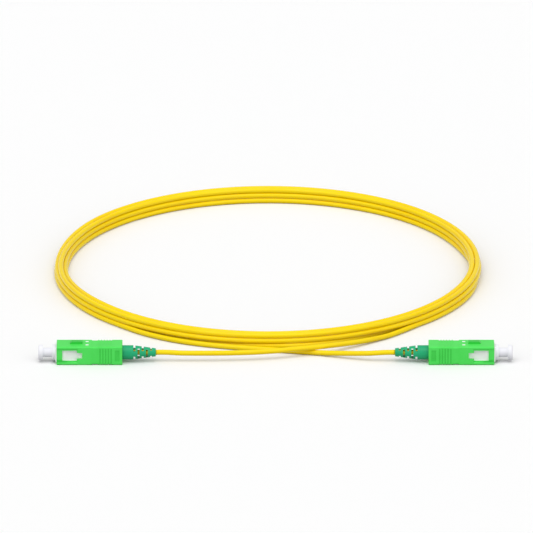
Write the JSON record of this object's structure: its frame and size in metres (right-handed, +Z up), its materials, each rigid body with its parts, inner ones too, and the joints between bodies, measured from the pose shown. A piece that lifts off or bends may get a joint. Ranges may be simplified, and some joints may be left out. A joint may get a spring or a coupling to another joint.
{
  "type": "fiber optic patch cord",
  "caption": "Coiled simplex fibre optic patch cord: slim round cable with an angled push-pull plug, strain relief boot and dust cap on each end.",
  "frame": {"origin": "on the table, midway between the two plugs, under their common axis", "axes": "+X along the plugs' axis from the left plug to the right one, +Y from the plugs towards the coil, +Z up from the table"},
  "size_m": [0.182, 0.1971, 0.0083],
  "materials": {
    "green_plastic": "satin",
    "white_plastic": "satin",
    "cap_plastic": "satin",
    "boot_green": "satin",
    "ceramic": "polished zirconia",
    "steel": "plain",
    "spring_steel": "drawn wire",
    "aramid_yarn": "yarn",
    "buffer_white": "satin",
    "glass_fibre": "clear",
    "cable_yellow": "satin PVC"
  },
  "bodies": {
    "cord": {"plug_frame_left": "white_plastic", "spring_left": "spring_steel", "stop_ring_left": "steel", "aramid_left": "aramid_yarn", "crimp_sleeve_left": "steel", "boot_left": "boot_green", "cable_entry_left": "cable_yellow", "plug_frame_right": "white_plastic", "spring_right": "spring_steel", "stop_ring_right": "steel", "aramid_right": "aramid_yarn", "crimp_sleeve_right": "steel", "boot_right": "boot_green", "cable_entry_right": "cable_yellow", "cable_tail_left": "cable_yellow", "cable_tail_right": "cable_yellow", "cable_coil": "cable_yellow"},
    "grip_left": {"grip_left": "green_plastic"},
    "ferrule_group_left": {"ferrule_left": "ceramic", "ferrule_holder_left": "steel", "fibre_left": "glass_fibre", "buffer_left": "buffer_white"},
    "cap_left": {"dust_cap_left": "cap_plastic"},
    "grip_right": {"grip_right": "green_plastic"},
    "ferrule_group_right": {"ferrule_right": "ceramic", "ferrule_holder_right": "steel", "fibre_right": "glass_fibre", "buffer_right": "buffer_white"},
    "cap_right": {"dust_cap_right": "cap_plastic"}
  },
  "joints": [
    {"name": "grip_release_left", "type": "slide", "parent": "cord", "child": "grip_left", "axis": [1, 0, 0], "range_m": [0, 0.0018]},
    {"name": "ferrule_float_left", "type": "slide", "parent": "cord", "child": "ferrule_group_left", "axis": [1, 0, 0], "range_m": [0, 0.001], "stiffness_N_per_m": 1000, "springref_m": -0.006, "deforming": ["spring_left"]},
    {"name": "cap_pull_left", "type": "slide", "parent": "cord", "child": "cap_left", "axis": [-1, 0, 0], "range_m": [0, 0.012]},
    {"name": "grip_release_right", "type": "slide", "parent": "cord", "child": "grip_right", "axis": [-1, 0, 0], "range_m": [0, 0.0018]},
    {"name": "ferrule_float_right", "type": "slide", "parent": "cord", "child": "ferrule_group_right", "axis": [-1, 0, 0], "range_m": [0, 0.001], "stiffness_N_per_m": 1000, "springref_m": -0.006, "deforming": ["spring_right"]},
    {"name": "cap_pull_right", "type": "slide", "parent": "cord", "child": "cap_right", "axis": [1, 0, 0], "range_m": [0, 0.012]}
  ]
}
